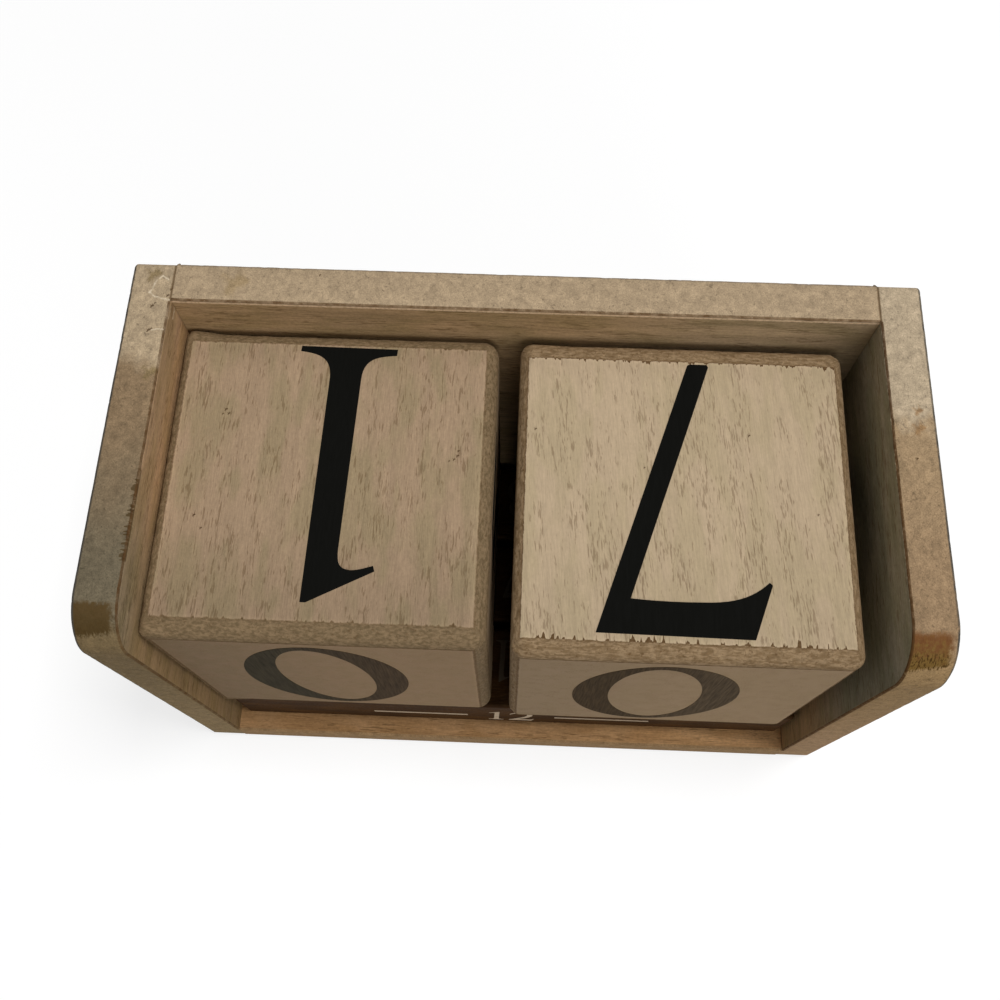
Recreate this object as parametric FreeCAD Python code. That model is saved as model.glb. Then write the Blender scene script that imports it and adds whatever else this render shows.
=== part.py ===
import FreeCAD, Part
import math
import os

from FreeCAD import Placement, Rotation, Vector

# A wooden desk calendar: an open-fronted tray that holds two number cubes standing on three
# square month bars. Millimetres, X to the right, Y to the back, Z up. The origin is at the
# middle of the rectangle that the tray covers, on the surface it stands on.

# Cubes
tens_cube_size = 49.7
units_cube_size = 50.2
cube_edge_radius = 2.2
numeral_margin = 4.0

# Print: a thin film of ink on the cubes and bars
print_thickness = 0.06
print_clearance = 0.03

# Room round the cubes
tens_wall_clearance = 0.12
cube_gap = 3.37
units_wall_gap = 3.55
tens_back_clearance = 0.14
units_back_clearance = 0.59
cube_reveal = 2.15
rim_above_cubes = 7.5

# Tray boards
side_thickness = 6.5
back_thickness = 6.5
base_thickness = 6.0
front_corner_radius = 7.5
foot_corner_radius = 1.2
board_edge_radius = 0.5

# Month bars, side by side, named from the front
MONTH_BARS = ["front", "middle", "back"]
bar_reveal = 3.65
bar_gap = 1.5
bar_back_gap = 1.35
bar_left_gap = 1.5
bar_right_gap = 1.1
bar_edge_radius = 0.7
month_number_margin = 3.5
month_number_drop = 1.2
month_rule_length = 18.0
month_rule_thickness = 0.8
month_rule_gap = 4.0
month_digit_space = 0.9

# Brads, the thin headless nails that hold the glued boards
brad_width = 1.2
brad_thickness = 1.0
brad_length = 17.0
brad_set_depth = 0.8
brad_end_distance = 12.0

# Worked out from the sizes above
seat_gap = 2 * print_thickness + print_clearance
tens_wall_gap = print_thickness + tens_wall_clearance
tens_back_gap = print_thickness + tens_back_clearance
units_back_gap = print_thickness + units_back_clearance
inner_width = tens_wall_gap + tens_cube_size + cube_gap + units_cube_size + units_wall_gap
inner_depth = cube_reveal + max(tens_cube_size + tens_back_gap, units_cube_size + units_back_gap)
tray_width = inner_width + 2 * side_thickness
tray_depth = inner_depth + back_thickness
bar_room = inner_depth - bar_reveal - bar_back_gap - (len(MONTH_BARS) - 1) * bar_gap
bar_size = bar_room / len(MONTH_BARS)
bar_length = inner_width - bar_left_gap - bar_right_gap
bar_floor = base_thickness + seat_gap
cube_floor = bar_floor + bar_size + seat_gap
tray_height = cube_floor + max(tens_cube_size, units_cube_size) + rim_above_cubes
month_number_height = bar_size - 2 * month_number_margin

left = -tray_width / 2
right = tray_width / 2
front = -tray_depth / 2
back = tray_depth / 2
inner_left = left + side_thickness
inner_right = right - side_thickness
inner_back = back - back_thickness

# Numerals as shares of their height, on a baseline at 0 and about a middle line at 0. A pair is
# the end of a straight line; three pairs are the two poles and the end of a Bezier curve.
ZERO_HALF_WIDTH_SHARE = 0.311
ZERO_COUNTER_HALF_WIDTH_SHARE = 0.175
ZERO_COUNTER_HALF_HEIGHT_SHARE = 0.456
ZERO_STRESS_DEGREES = 3.0
QUARTER_TURN_DEGREES = 90.0
HALF_TURN_DEGREES = 180.0
OUTLINE_SHARES = {
    "one": [[
        [(0.178, 0.0)],
        [(0.180, 0.022)],
        [(0.110, 0.030), (0.062, 0.045), (0.061, 0.130)],
        [(0.082, 0.995)],
        [(0.062, 0.995)],
        [(-0.166, 0.876)],
        [(-0.160, 0.856)],
        [(-0.134, 0.864), (-0.104, 0.876), (-0.079, 0.874)],
        [(-0.039, 0.871), (-0.032, 0.846), (-0.033, 0.797)],
        [(-0.056, 0.130)],
        [(-0.060, 0.045), (-0.110, 0.036), (-0.182, 0.030)],
        [(-0.184, 0.004)],
    ]],
    "two": [[
        [(0.255, 0.0)],
        [(0.315, 0.195)],
        [(0.292, 0.198)],
        [(0.262, 0.125), (0.225, 0.108), (0.160, 0.108)],
        [(-0.105, 0.108)],
        [(0.075, 0.275), (0.270, 0.455), (0.270, 0.715)],
        [(0.270, 0.895), (0.150, 1.0), (0.0, 1.0)],
        [(-0.145, 1.0), (-0.245, 0.905), (-0.275, 0.745)],
        [(-0.248, 0.738)],
        [(-0.212, 0.845), (-0.140, 0.905), (-0.050, 0.905)],
        [(0.070, 0.905), (0.145, 0.820), (0.145, 0.690)],
        [(0.145, 0.480), (-0.050, 0.285), (-0.290, 0.045)],
        [(-0.290, 0.0)],
    ]],
    "three": [[
        [(0.130, 1.0), (0.225, 0.905), (0.225, 0.785)],
        [(0.225, 0.700), (0.170, 0.635), (0.085, 0.600)],
        [(0.205, 0.560), (0.270, 0.450), (0.270, 0.320)],
        [(0.270, 0.120), (0.105, 0.0), (-0.080, 0.0)],
        [(-0.185, 0.0), (-0.255, 0.025), (-0.255, 0.070)],
        [(-0.255, 0.110), (-0.200, 0.125), (-0.155, 0.098)],
        [(-0.115, 0.075), (-0.080, 0.052), (-0.030, 0.052)],
        [(0.080, 0.052), (0.150, 0.140), (0.150, 0.275)],
        [(0.150, 0.425), (0.055, 0.500), (-0.105, 0.500)],
        [(-0.105, 0.530)],
        [(0.030, 0.550), (0.110, 0.640), (0.110, 0.765)],
        [(0.110, 0.860), (0.050, 0.918), (-0.040, 0.918)],
        [(-0.120, 0.918), (-0.180, 0.870), (-0.215, 0.790)],
        [(-0.240, 0.800)],
        [(-0.200, 0.925), (-0.120, 1.0), (-0.010, 1.0)],
    ]],
    "four": [
        [
            [(0.175, 0.0)],
            [(0.175, 0.230)],
            [(0.285, 0.230)],
            [(0.285, 0.325)],
            [(0.175, 0.325)],
            [(0.175, 1.0)],
            [(0.110, 1.0)],
            [(-0.290, 0.310)],
            [(-0.290, 0.230)],
            [(0.055, 0.230)],
            [(0.055, 0.0)],
        ],
        [
            [(0.055, 0.325)],
            [(0.055, 0.790)],
            [(-0.215, 0.325)],
        ],
    ],
    "five": [[
        [(0.205, 0.865)],
        [(0.250, 1.0)],
        [(0.225, 1.0)],
        [(0.205, 0.985), (0.185, 0.980), (0.160, 0.980)],
        [(-0.115, 0.980)],
        [(-0.205, 0.565)],
        [(0.010, 0.550), (0.140, 0.460), (0.140, 0.285)],
        [(0.140, 0.140), (0.065, 0.055), (-0.045, 0.055)],
        [(-0.085, 0.055), (-0.120, 0.075), (-0.150, 0.095)],
        [(-0.195, 0.122), (-0.255, 0.108), (-0.255, 0.068)],
        [(-0.255, 0.025), (-0.190, 0.0), (-0.090, 0.0)],
        [(0.110, 0.0), (0.265, 0.130), (0.265, 0.340)],
        [(0.265, 0.530), (0.120, 0.650), (-0.105, 0.690)],
        [(-0.072, 0.865)],
    ]],
    "six": [
        [
            [(-0.055, 0.955), (-0.280, 0.740), (-0.280, 0.380)],
            [(-0.280, 0.145), (-0.160, 0.0), (0.005, 0.0)],
            [(0.165, 0.0), (0.280, 0.130), (0.280, 0.310)],
            [(0.280, 0.485), (0.180, 0.605), (0.045, 0.605)],
            [(-0.030, 0.605), (-0.095, 0.570), (-0.130, 0.515)],
            [(-0.105, 0.750), (0.020, 0.915), (0.225, 0.972)],
            [(0.218, 1.0)],
        ],
        [
            [(-0.120, 0.515), (-0.065, 0.545), (-0.005, 0.545)],
            [(0.100, 0.545), (0.150, 0.440), (0.150, 0.290)],
            [(0.150, 0.130), (0.105, 0.048), (0.012, 0.048)],
            [(-0.090, 0.048), (-0.150, 0.170), (-0.150, 0.360)],
            [(-0.150, 0.400), (-0.149, 0.430), (-0.146, 0.460)],
        ],
    ],
    "seven": [[
        [(-0.024, 0.006)],
        [(0.305, 1.020)],
        [(-0.228, 1.027)],
        [(-0.294, 0.836)],
        [(-0.284, 0.826)],
        [(-0.229, 0.878), (-0.169, 0.900), (-0.079, 0.903)],
        [(0.030, 0.907), (0.115, 0.904), (0.187, 0.898)],
        [(0.067, 0.527), (-0.008, 0.303), (-0.101, 0.010)],
        [(-0.096, 0.0)],
        [(-0.032, 0.0)],
    ]],
    "eight": [
        [
            [(0.130, 1.0), (0.220, 0.910), (0.220, 0.785)],
            [(0.220, 0.690), (0.160, 0.610), (0.085, 0.562)],
            [(0.205, 0.505), (0.280, 0.400), (0.280, 0.270)],
            [(0.280, 0.110), (0.165, 0.0), (0.0, 0.0)],
            [(-0.165, 0.0), (-0.280, 0.105), (-0.280, 0.255)],
            [(-0.280, 0.375), (-0.205, 0.475), (-0.085, 0.530)],
            [(-0.170, 0.585), (-0.220, 0.665), (-0.220, 0.765)],
            [(-0.220, 0.905), (-0.130, 1.0), (0.0, 1.0)],
        ],
        [
            [(-0.075, 0.952), (-0.115, 0.880), (-0.115, 0.795)],
            [(-0.115, 0.700), (-0.050, 0.635), (0.045, 0.590)],
            [(0.095, 0.630), (0.120, 0.700), (0.120, 0.780)],
            [(0.120, 0.880), (0.075, 0.952), (0.0, 0.952)],
        ],
        [
            [(0.105, 0.048), (0.165, 0.125), (0.165, 0.235)],
            [(0.165, 0.350), (0.080, 0.430), (-0.045, 0.495)],
            [(-0.125, 0.445), (-0.160, 0.355), (-0.160, 0.255)],
            [(-0.160, 0.125), (-0.100, 0.048), (0.0, 0.048)],
        ],
    ],
}
# Half the width of a digit where two stand side by side, as a share of its height
DIGIT_HALF_WIDTH_SHARES = {
    "zero": ZERO_HALF_WIDTH_SHARE,
    "one": 0.182,
    "two": 0.303,
    "three": 0.262,
    "four": 0.288,
    "five": 0.260,
    "six": 0.280,
    "seven": 0.290,
    "eight": 0.280,
    "nine": 0.280,
}

# How a face of a cube or bar is read: its outward normal and the way its numeral stands up
FACES = {
    "front": (Vector(0, -1, 0), Vector(0, 0, 1)),
    "top": (Vector(0, 0, 1), Vector(0, -1, 0)),
    "back": (Vector(0, 1, 0), Vector(0, 0, 1)),
    "bottom": (Vector(0, 0, -1), Vector(0, 1, 0)),
    "left": (Vector(-1, 0, 0), Vector(0, 0, 1)),
    "right": (Vector(1, 0, 0), Vector(0, 0, 1)),
}
TENS_NUMERALS = {
    "front": "zero",
    "top": "one",
    "back": "two",
    "bottom": "three",
    "left": "four",
    "right": "five",
}
UNITS_NUMERALS = {
    "front": "zero",
    "top": "seven",
    "back": "eight",
    "bottom": "six",
    "left": "one",
    "right": "two",
}
# Where a print sits off the middle of its face, to its right and up, as shares of the cube
TENS_SHIFT_SHARES = {"front": (-0.025, 0.0), "top": (-0.027, -0.029)}
UNITS_SHIFT_SHARES = {"front": (-0.034, 0.0), "top": (0.005, -0.010)}

# Each bar carries four months, one on each long face
MONTHS = {
    "front": {
        "front": ["one", "two"],
        "top": ["one", "one"],
        "back": ["one", "zero"],
        "bottom": ["nine"],
    },
    "middle": {
        "front": ["eight"],
        "top": ["seven"],
        "back": ["six"],
        "bottom": ["five"],
    },
    "back": {
        "front": ["four"],
        "top": ["three"],
        "back": ["two"],
        "bottom": ["one"],
    },
}


def box(low, high):
    """A box from its low corner to its high corner."""
    size = high - low
    return Part.makeBox(size.x, size.y, size.z, low)


def rounded_box(low, high, radius):
    """A box with every edge rounded."""
    solid = box(low, high)
    return solid.makeFillet(radius, solid.Edges)


def in_line(edge, direction):
    """Whether a straight edge runs along a direction."""
    if not isinstance(edge.Curve, Part.Line):
        return False
    return abs(abs(edge.Curve.Direction.dot(direction)) - 1) < Part.Precision.confusion()


def save(name, solids):
    """Write one node, a single solid or a group of separate ones."""
    shape = solids[0] if len(solids) == 1 else Part.makeCompound(solids)
    shape.exportStep("parts/" + name + ".step")
    print(name, len(shape.Solids), "solids", round(shape.Volume, 2), "mm3", shape.isValid())


def side_profile():
    """The outline of a side board, seen from the side: a rounded top front corner."""
    z_turn = tray_height - front_corner_radius
    y_turn = front + front_corner_radius
    diagonal = math.sqrt(0.5)
    top_middle = Vector(
        0,
        y_turn - diagonal * front_corner_radius,
        z_turn + diagonal * front_corner_radius,
    )
    foot_middle = Vector(
        0,
        front + foot_corner_radius - diagonal * foot_corner_radius,
        foot_corner_radius - diagonal * foot_corner_radius,
    )
    front_low = Vector(0, front, foot_corner_radius)
    front_high = Vector(0, front, z_turn)
    top_front = Vector(0, y_turn, tray_height)
    top_back = Vector(0, back, tray_height)
    bottom_back = Vector(0, back, 0)
    bottom_front = Vector(0, front + foot_corner_radius, 0)
    edges = [
        Part.LineSegment(front_low, front_high).toShape(),
        Part.Arc(front_high, top_middle, top_front).toShape(),
        Part.LineSegment(top_front, top_back).toShape(),
        Part.LineSegment(top_back, bottom_back).toShape(),
        Part.LineSegment(bottom_back, bottom_front).toShape(),
        Part.Arc(bottom_front, foot_middle, front_low).toShape(),
    ]
    return Part.Face(Part.Wire(edges))


def side_board(x_low):
    """One side board with its edges eased all round both faces."""
    profile = side_profile()
    profile.translate(Vector(x_low, 0, 0))
    solid = profile.extrude(Vector(side_thickness, 0, 0))
    rims = [edge for edge in solid.Edges if not in_line(edge, Vector(1, 0, 0))]
    return solid.makeFillet(board_edge_radius, rims)


def back_board():
    """The back board, between the side boards, with its long edges eased."""
    solid = box(Vector(inner_left, inner_back, 0), Vector(inner_right, back, tray_height))
    top_edges = [
        edge for edge in solid.Edges
        if in_line(edge, Vector(1, 0, 0)) and edge.BoundBox.ZMin > tray_height / 2
    ]
    return solid.makeFillet(board_edge_radius, top_edges)


def base_board():
    """The base board, between the side boards and up to the back board."""
    solid = box(Vector(inner_left, front, 0), Vector(inner_right, inner_back, base_thickness))
    front_edges = [
        edge for edge in solid.Edges
        if in_line(edge, Vector(1, 0, 0)) and edge.BoundBox.YMax < 0
    ]
    return solid.makeFillet(board_edge_radius, front_edges)


def brad_places():
    """Where the brads go in on a side board: two into the back board, two into the base."""
    back_middle = back - back_thickness / 2
    base_middle = base_thickness / 2
    return [
        (back_middle, base_thickness + brad_end_distance),
        (back_middle, tray_height - brad_end_distance),
        (front + inner_depth / 3, base_middle),
        (inner_back - inner_depth / 3, base_middle),
    ]


def side_brads(outer, inward):
    """The brads driven through a side board, and the holes that they make."""
    brads = []
    holes = []
    for y, z in brad_places():
        low_y = y - brad_thickness / 2
        low_z = z - brad_width / 2
        start = outer + inward * brad_set_depth
        end = start + inward * brad_length
        far = Vector(0, brad_thickness, brad_width)
        brads.append(box(
            Vector(min(start, end), low_y, low_z),
            Vector(max(start, end), low_y, low_z) + far,
        ))
        holes.append(box(
            Vector(min(outer, end), low_y, low_z),
            Vector(max(outer, end), low_y, low_z) + far,
        ))
    return brads, holes


def back_brads():
    """The brads through the back board into the rear edge of the base, and their holes."""
    brads = []
    holes = []
    for x in (-inner_width / 4, 0, inner_width / 4):
        low_x = x - brad_width / 2
        low_z = base_thickness / 2 - brad_thickness / 2
        start = back - brad_set_depth
        end = start - brad_length
        far = Vector(brad_width, 0, brad_thickness)
        brads.append(box(Vector(low_x, end, low_z), Vector(low_x, start, low_z) + far))
        holes.append(box(Vector(low_x, end, low_z), Vector(low_x, back, low_z) + far))
    return brads, holes


def outline_wire(segments, height):
    """A closed outline from a table of shares, at a real height."""
    points = [[Vector(x * height, y * height, 0) for x, y in segment] for segment in segments]
    here = points[-1][-1]
    edges = []
    for poles in points:
        there = poles[-1]
        if len(poles) == 1 and there.distanceToPoint(here) > 0:
            edges.append(Part.LineSegment(here, there).toShape())
        elif len(poles) > 1:
            curve = Part.BezierCurve()
            curve.setPoles([here] + poles)
            edges.append(curve.toShape())
        here = there
    return Part.Wire(edges)


def ellipse_wire(half_width, half_height, centre, turn_degrees):
    """An upright ellipse, turned about its middle."""
    ellipse = Part.Ellipse(centre, half_height, half_width)
    wire = Part.Wire([ellipse.toShape()])
    wire.rotate(centre, Vector(0, 0, 1), QUARTER_TURN_DEGREES + turn_degrees)
    return wire


def zero_wires(height):
    """The outer and inner outlines of a nought, with slanted stress."""
    centre = Vector(0, height / 2, 0)
    outer = ellipse_wire(ZERO_HALF_WIDTH_SHARE * height, height / 2, centre, 0)
    inner = ellipse_wire(
        ZERO_COUNTER_HALF_WIDTH_SHARE * height,
        ZERO_COUNTER_HALF_HEIGHT_SHARE * height,
        centre,
        ZERO_STRESS_DEGREES,
    )
    return [outer, inner]


def digit_film(digit, height):
    """One digit as a thin film lying on the plane Z = 0, its middle at the origin."""
    if digit == "zero":
        wires = zero_wires(height)
    else:
        outlines = OUTLINE_SHARES["six" if digit == "nine" else digit]
        wires = [outline_wire(outline, height) for outline in outlines]
    face = Part.makeFace(wires, "Part::FaceMakerBullseye")
    film = face.extrude(Vector(0, 0, print_thickness))
    film.translate(Vector(0, -height / 2, 0))
    if digit == "nine":
        film.rotate(Vector(0, 0, 0), Vector(0, 0, 1), HALF_TURN_DEGREES)
    return film.Solids[0]


def on_face(film, face, centre, reach, shift_right, shift_up):
    """Lay a flat film on a named face of a block, whose middle is reach away from its centre."""
    normal, up = FACES[face]
    across = up.cross(normal)
    spot = centre + normal * reach + across * shift_right + up * shift_up
    laid = film.copy()
    laid.Placement = Placement(spot, Rotation(across, up, normal, "ZXY")).multiply(film.Placement)
    return laid


def cube(centre, size):
    """A number cube with its edges rounded over."""
    reach = Vector(size / 2, size / 2, size / 2)
    return rounded_box(centre - reach, centre + reach, cube_edge_radius)


def cube_numerals(centre, size, numerals, shift_shares):
    """The six numerals printed on a cube."""
    height = size - 2 * numeral_margin
    films = []
    for face, digit in numerals.items():
        right_share, up_share = shift_shares.get(face, (0, 0))
        films.append(on_face(
            digit_film(digit, height),
            face,
            centre,
            size / 2,
            right_share * size,
            up_share * size,
        ))
    return films


def bar_centre(index):
    """The middle of a month bar, counted from the front."""
    x = inner_left + bar_left_gap + bar_length / 2
    y = front + bar_reveal + bar_size / 2 + index * (bar_size + bar_gap)
    return Vector(x, y, bar_floor + bar_size / 2)


def month_bar(centre):
    """A month bar: a square strip with eased edges."""
    reach = Vector(bar_length / 2, bar_size / 2, bar_size / 2)
    return rounded_box(centre - reach, centre + reach, bar_edge_radius)


def month_print(digits):
    """A month's digits between two rules, as flat films about the origin."""
    height = month_number_height
    half_widths = [DIGIT_HALF_WIDTH_SHARES[digit] * height for digit in digits]
    total = 2 * sum(half_widths) + (len(digits) - 1) * month_digit_space
    films = []
    x = -total / 2
    for digit, half_width in zip(digits, half_widths):
        film = digit_film(digit, height)
        film.translate(Vector(x + half_width, 0, 0))
        films.append(film)
        x += 2 * half_width + month_digit_space
    rule_start = total / 2 + month_rule_gap
    rule_end = rule_start + month_rule_length
    half_rule = month_rule_thickness / 2
    films.append(box(
        Vector(rule_start, -half_rule, 0),
        Vector(rule_end, half_rule, print_thickness),
    ))
    films.append(box(
        Vector(-rule_end, -half_rule, 0),
        Vector(-rule_start, half_rule, print_thickness),
    ))
    return films


def bar_numerals(centre, months):
    """The four months printed on a bar."""
    films = []
    for face, digits in months.items():
        for film in month_print(digits):
            films.append(on_face(film, face, centre, bar_size / 2, 0, -month_number_drop))
    return films


def cut_all(solid, tools):
    """A solid less every tool."""
    return solid.cut(Part.makeCompound(tools)).Solids[0]


def make_tray():
    """The four boards and the brads that hold them."""
    left_brads, left_holes = side_brads(left, 1)
    right_brads, right_holes = side_brads(right, -1)
    rear_brads, rear_holes = back_brads()
    save("left_side_board", [cut_all(side_board(left), left_holes)])
    save("right_side_board", [cut_all(side_board(inner_right), right_holes)])
    save("back_board", [cut_all(back_board(), left_holes + right_holes + rear_holes)])
    save("base_board", [cut_all(base_board(), left_holes + right_holes + rear_holes)])
    save("left_side_brads", left_brads)
    save("right_side_brads", right_brads)
    save("back_brads", rear_brads)


def make_cubes():
    """The tens cube against the left wall and the units cube beside it."""
    tens_half = tens_cube_size / 2
    units_half = units_cube_size / 2
    tens_centre = Vector(
        inner_left + tens_wall_gap + tens_half,
        inner_back - tens_back_gap - tens_half,
        cube_floor + tens_half,
    )
    units_centre = Vector(
        tens_centre.x + tens_half + cube_gap + units_half,
        inner_back - units_back_gap - units_half,
        cube_floor + units_half,
    )
    save("tens_cube", [cube(tens_centre, tens_cube_size)])
    save("tens_cube_numerals", cube_numerals(
        tens_centre, tens_cube_size, TENS_NUMERALS, TENS_SHIFT_SHARES))
    save("units_cube", [cube(units_centre, units_cube_size)])
    save("units_cube_numerals", cube_numerals(
        units_centre, units_cube_size, UNITS_NUMERALS, UNITS_SHIFT_SHARES))


def make_month_bars():
    """The three month bars under the cubes."""
    for index, name in enumerate(MONTH_BARS):
        centre = bar_centre(index)
        save("month_bar_" + name, [month_bar(centre)])
        save("month_bar_" + name + "_numerals", bar_numerals(centre, MONTHS[name]))


os.makedirs("parts", exist_ok=True)
print("tray", round(tray_width, 3), round(tray_depth, 3), round(tray_height, 3))
print("month bar", round(bar_size, 3), round(bar_length, 3))
make_tray()
make_cubes()
make_month_bars()
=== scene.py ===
import math

import bpy
from mathutils import Matrix, Vector, noise
from mathutils.geometry import tessellate_polygon


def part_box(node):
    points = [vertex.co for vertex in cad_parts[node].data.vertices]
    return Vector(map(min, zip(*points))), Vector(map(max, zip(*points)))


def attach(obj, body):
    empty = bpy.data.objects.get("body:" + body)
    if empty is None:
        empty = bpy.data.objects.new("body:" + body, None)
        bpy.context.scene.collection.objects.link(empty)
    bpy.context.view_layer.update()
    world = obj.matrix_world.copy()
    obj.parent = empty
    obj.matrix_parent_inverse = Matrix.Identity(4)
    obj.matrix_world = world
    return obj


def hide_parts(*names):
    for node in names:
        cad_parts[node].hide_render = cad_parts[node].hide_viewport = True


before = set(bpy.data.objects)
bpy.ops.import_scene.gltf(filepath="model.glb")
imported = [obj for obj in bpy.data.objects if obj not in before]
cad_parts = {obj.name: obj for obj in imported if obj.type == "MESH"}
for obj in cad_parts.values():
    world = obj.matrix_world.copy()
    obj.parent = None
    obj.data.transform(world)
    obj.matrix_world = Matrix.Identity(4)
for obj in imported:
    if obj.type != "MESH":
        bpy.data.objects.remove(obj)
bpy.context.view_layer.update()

# A wooden desk calendar: an open-fronted tray with two number cubes on three month bars.
# Lengths are in millimetres until a mesh or a lamp is made, and colours are as they show on a
# screen, 0 to 255.
MM = 0.001

# Camera, solved from the edges of the tray, the cubes and the base in the photograph
CAMERA_PLACE = (0.43, -60.57, 216.67)
CAMERA_TILT_DEGREES = 21.15
CAMERA_TURN_DEGREES = 2.98
CAMERA_ROLL_DEGREES = -0.79
CAMERA_FOCUS_PIXELS = 1054.5
CAMERA_CLIP = (0.01, 20.0)
PICTURE_PIXELS = 1000
SENSOR_WIDTH = 36.0

# Light: a soft lamp overhead and a little to the right, a weak broad one in front, and an even
# fill. For each lamp: its way from the object, distance and size in metres, and share
LAMPS = (
    ("overhead", (0.28, 0.0, 1.0), 1.1, 0.30, 0.78),
    ("front", (0.25, -1.0, 0.25), 1.3, 0.60, 0.34),
)
FILL_STRENGTH = 0.2
# Floor: its shade, how far its own light lifts it for the camera, and its size in metres
FLOOR_SHADE = 0.3
FLOOR_LIFT = 0.74
FLOOR_REACH = 3.0
FLOOR_DROP = 0.0002
FLOOR_SIDES = 48

# Edges of the boards. The right board's top front corner is taller than it is deep
TOP_FRONT_RADIUS = 7.5
RIGHT_TOP_FRONT = (7.5, 9.5)
FOOT_RADIUS = 1.2
BOARD_CORNER_RADIUS = 0.8
BUTT_RADIUS = 0.08
SIDE_ARRIS_RADIUS = 0.55
INNER_ARRIS_RADIUS = 0.36
BASE_ARRIS_RADIUS = 0.45
# How open an arris is where another board closes it, and how worn the outer and inner ones are
CLOSED_ARRIS = 0.25
OUTER_WEAR = 0.08
INNER_WEAR = 0.3
# The torn stretch of the left board's inner arris, from front to back
TORN_STRETCH = (-18.0, -4.75)
TORN_WEAR = 1.1
# Wide dents (size, level) and small chips (size, level, strength) in worn edges
BOARD_DENTS = (3.0, 0.40)
BOARD_CHIPS = (0.8, 0.60, 2.5)
BLOCK_DENTS = (2.4, 0.45)
BLOCK_CHIPS = (0.9, 0.66, 2.2)
OUTLINE_STEP = 0.32
ARRIS_STEPS = 5
FLAT_STEPS = 4

# Cubes and bars: the radii of their left edges and of the others, how far from the left face
# the first gives way to the second, how worn they are and how closely their points lie
TENS_RADII = (1.2, 2.4)
UNITS_RADII = (2.0, 2.2)
BAR_RADII = (0.7, 0.7)
RADIUS_BLEND = (2.5, 6.0)
TENS_WEAR = 0.5
UNITS_WEAR = 0.6
BAR_WEAR = 0.35
CUBE_STEP = 0.7
BAR_STEP = 0.9
ROUND_STEPS = 7

# Pits over the brads: rings from the lip to the floor (how far out, how deep, how dark)
PIT_RINGS = ((0.28, 0.0, 0.2), (0.1, 0.16, 0.6), (0.02, 0.8, 0.9))
PIT_RAGGED = 0.12
PIT_POINTS = 14

# Small knots on the cubes' tops: across, along, radius
TENS_KNOTS = (
    (-16.6, 10.9, 0.36), (-16.1, 10.2, 0.30), (-17.0, 10.1, 0.22),
    (19.4, 5.2, 0.28), (19.3, 4.4, 0.34), (18.8, 3.8, 0.28), (18.1, 3.5, 0.20),
    (-19.1, -6.5, 0.34), (-17.8, -8.5, 0.28),
)
UNITS_KNOTS = ((9.8, 9.8, 0.3), (-6.0, 4.0, 0.22), (-22.4, 9.8, 0.3), (19.4, -2.6, 0.24))
# Marks on the tray's top edges: across, along, radius
EDGE_PITS = (
    (-56.1, 22.1, 0.42), (-56.0, 17.9, 0.40), (-55.6, 18.2, 0.26), (-55.7, 22.6, 0.22),
    (-54.0, 24.0, 0.36), (-53.6, 25.1, 0.34), (-31.25, 28.4, 0.26), (56.6, 1.1, 0.26),
)
# Thin pale scratches on the left back corner and the wall below it, each between two spots
SCRATCHES = (
    ((-56.0, 26.7, 79.0), (-56.8, 24.4, 79.0)), ((-56.8, 24.4, 79.0), (-55.9, 23.7, 79.0)),
    ((-55.9, 23.7, 79.0), (-53.3, 23.1, 79.0)), ((-55.7, 27.0, 79.0), (-55.3, 27.4, 79.0)),
    ((-55.3, 27.4, 79.0), (-54.3, 26.8, 79.0)), ((-55.4, 18.0, 79.0), (-53.7, 18.2, 79.0)),
    ((-53.5, 22.6, 78.2), (-53.5, 20.3, 78.4)), ((-53.5, 23.2, 76.6), (-53.5, 21.3, 76.7)),
)
SCRATCH_WIDTH = 0.13
# How far one cube's or board's grain lies from the next one's
CUBE_GRAIN_SHIFT = (83.0, 47.0, 61.0)
BOARD_GRAIN_SHIFT = (31.0, 17.0, 23.0)

# Colours
PORE = (98, 75, 48)
KNOT = (66, 43, 22)
RIM_LINE = (84, 60, 35)
# Painted shade for the crevice down a cube's side where it stands against a wall
CREVICE_SHADE = (62, 40, 18)
SCRATCH = (214, 198, 172)
ARRIS = (84, 58, 32)
# Painted shade on the boards' rounded outer arrises
OUTER_ARRIS_SHADE = (74, 70, 64)
TORN = (76, 60, 36)
CHIP = (172, 150, 116)
JOINT = (96, 74, 46)
LIP = (236, 206, 172)
CHAR = (58, 38, 14)
INK = (15, 15, 13)
# Worn ink with a painted sheen at the left and right of a numeral on a cube's front
FADED_AND_SHEEN_TENS = ((57, 51, 39), (69, 56, 42))
FADED_AND_SHEEN_UNITS = ((64, 51, 35), (80, 67, 51))
BAR = (64, 42, 21)
BAR_OTHER = (52, 34, 18)
# Painted shade over the print on the bars' tops, deep under the cubes
BAR_TOP_SHADE = (40, 26, 15)
CREAM = (196, 176, 150)
STEEL = (150, 150, 148)
STEEL_DARK = (120, 118, 114)
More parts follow.
